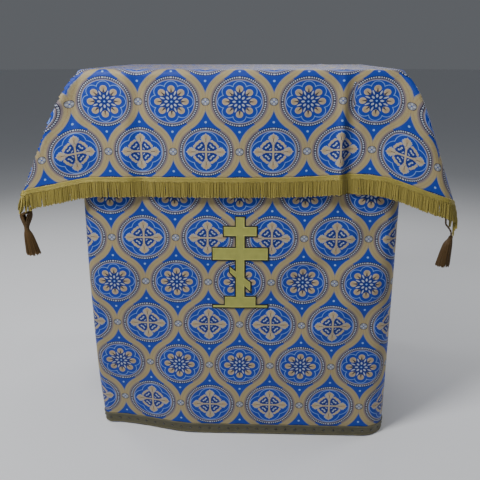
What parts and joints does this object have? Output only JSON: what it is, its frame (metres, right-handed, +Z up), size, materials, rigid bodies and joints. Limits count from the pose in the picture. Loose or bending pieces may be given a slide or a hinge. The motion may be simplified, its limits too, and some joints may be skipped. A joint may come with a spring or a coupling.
{
  "type": "altar cloth set on altar table",
  "caption": "Altar cloth set draped on a plain altar table: a brocade under-cover to the floor with a sewn cross, and an over-cover edged with fringe and corner tassels.",
  "frame": {"origin": "on the floor, below the middle of the whole set's box", "axes": "+Z up; the front with the cross faces -Y; +X is to the right of someone facing the front"},
  "size_m": [1.1078, 0.7672, 0.9992],
  "materials": {
    "wood": "plain matt softwood",
    "brocade": "satin brocade with woven medallions",
    "braid": "metallic galloon",
    "gold_cloth": "gold cloth",
    "black_cord": "black cord",
    "fringe": "twisted gold bullion",
    "tassel": "brown silk yarn"
  },
  "bodies": {
    "root": {"table_top": "wood", "table_leg_front_left": "wood", "table_leg_front_right": "wood", "table_leg_back_right": "wood", "table_leg_back_left": "wood", "table_rail_front": "wood", "table_rail_back": "wood", "table_rail_left": "wood", "table_rail_right": "wood", "under_cover": "brocade", "over_cover": "brocade", "hem_braid": "braid", "cross_applique": "gold_cloth", "cross_edging": "black_cord", "fringe_front": "fringe", "fringe_right": "fringe", "fringe_back": "fringe", "fringe_left": "fringe", "tassel_front_left": "tassel", "tassel_front_right": "tassel", "tassel_back_right": "tassel", "tassel_back_left": "tassel"}
  },
  "joints": []
}
